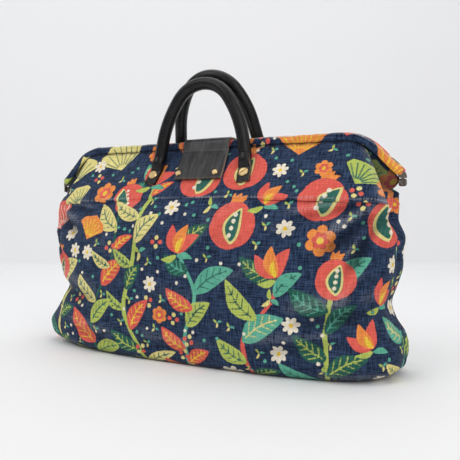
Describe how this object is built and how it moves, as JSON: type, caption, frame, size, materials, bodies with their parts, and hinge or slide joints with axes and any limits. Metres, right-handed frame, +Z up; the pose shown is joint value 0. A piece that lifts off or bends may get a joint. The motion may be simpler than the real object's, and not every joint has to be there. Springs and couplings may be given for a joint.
{
  "type": "hinged frame handbag",
  "caption": "Soft cloth handbag with a hinged frame mouth, stiffened shoulders, rolled leather handles and a closure tab with press studs; the frame opens and the handles swing.",
  "frame": {"origin": "on the floor under the middle of the bag", "axes": "+X to the bag's right as seen from the front, +Y to the back, +Z up; the front faces -Y"},
  "size_m": [0.4427, 0.1496, 0.3175],
  "materials": {
    "printed_cloth": "slubby navy linen with a bold printed flower pattern",
    "lining_cloth": "plain natural cotton",
    "board": "grey-brown fibreboard",
    "frame_steel": "plain strip steel",
    "black_leather": "worn black leather with raw tan edges",
    "cord_core": "twisted cotton cord",
    "brass": "dulled brass",
    "steel_fastener": "plated steel"
  },
  "bodies": {
    "bag_body": {"front_body_cloth": "printed_cloth", "back_body_cloth": "printed_cloth", "left_gusset": "printed_cloth", "right_gusset": "printed_cloth", "base_cloth": "printed_cloth", "bag_lining": "lining_cloth", "base_board": "board", "left_hinge_rivet": "frame_steel", "right_hinge_rivet": "frame_steel"},
    "front_frame": {"front_frame_bar": "frame_steel", "front_casing": "printed_cloth"},
    "back_frame": {"back_frame_bar": "frame_steel", "back_casing": "printed_cloth"},
    "front_panel": {"front_shoulder": "printed_cloth", "front_stiffener": "board", "front_left_screw": "brass", "front_right_screw": "brass", "front_left_nut": "steel_fastener", "front_right_nut": "steel_fastener", "front_washers": "steel_fastener", "front_handle_feet": "black_leather", "left_stud_post": "steel_fastener", "right_stud_post": "steel_fastener"},
    "back_panel": {"back_shoulder": "printed_cloth", "back_stiffener": "board", "back_left_screw": "brass", "back_right_screw": "brass", "back_left_nut": "steel_fastener", "back_right_nut": "steel_fastener", "back_washers": "steel_fastener", "back_handle_feet": "black_leather"},
    "front_handle": {"front_handle_cover": "black_leather", "front_handle_core": "cord_core"},
    "back_handle": {"back_handle_cover": "black_leather", "back_handle_core": "cord_core"},
    "closure_tab_body": {"closure_tab": "black_leather", "left_stud_cap": "brass", "right_stud_cap": "brass", "left_stud_socket": "steel_fastener", "right_stud_socket": "steel_fastener"}
  },
  "joints": [
    {"name": "front_frame_open", "type": "hinge", "parent": "bag_body", "child": "front_frame", "pos_m": [0, 0, 0.188], "axis": [1, 0, 0], "range_deg": [0, 80], "deforming": ["front_body_cloth", "back_body_cloth", "left_gusset", "right_gusset", "bag_lining"]},
    {"name": "back_frame_open", "type": "hinge", "parent": "bag_body", "child": "back_frame", "pos_m": [0, 0, 0.188], "axis": [1, 0, 0], "range_deg": [-80, 0]},
    {"name": "front_panel_fold", "type": "hinge", "parent": "front_frame", "child": "front_panel", "pos_m": [0, -0.0041, 0.2345], "axis": [1, 0, 0], "range_deg": [-72, 0]},
    {"name": "back_panel_fold", "type": "hinge", "parent": "back_frame", "child": "back_panel", "pos_m": [0, 0.0041, 0.2345], "axis": [1, 0, 0], "range_deg": [0, 72]},
    {"name": "tab_lift", "type": "hinge", "parent": "back_frame", "child": "closure_tab_body", "pos_m": [0, 0.0084, 0.2308], "axis": [1, 0, 0], "range_deg": [-120, 0], "deforming": ["closure_tab"]},
    {"name": "front_handle_swing", "type": "hinge", "parent": "front_panel", "child": "front_handle", "pos_m": [0, -0.0217, 0.22066], "axis": [1, 0, 0], "range_deg": [0, 110]},
    {"name": "back_handle_swing", "type": "hinge", "parent": "back_panel", "child": "back_handle", "pos_m": [0, 0.0217, 0.22066], "axis": [1, 0, 0], "range_deg": [-120, 0]}
  ],
  "couplings": [
    {"joint": "back_frame_open", "follows": "front_frame_open", "ratio": -1},
    {"joint": "front_panel_fold", "follows": "front_frame_open", "ratio": -0.9},
    {"joint": "back_panel_fold", "follows": "front_frame_open", "ratio": 0.9},
    {"joint": "tab_lift", "follows": "front_frame_open", "ratio": -1.5}
  ]
}
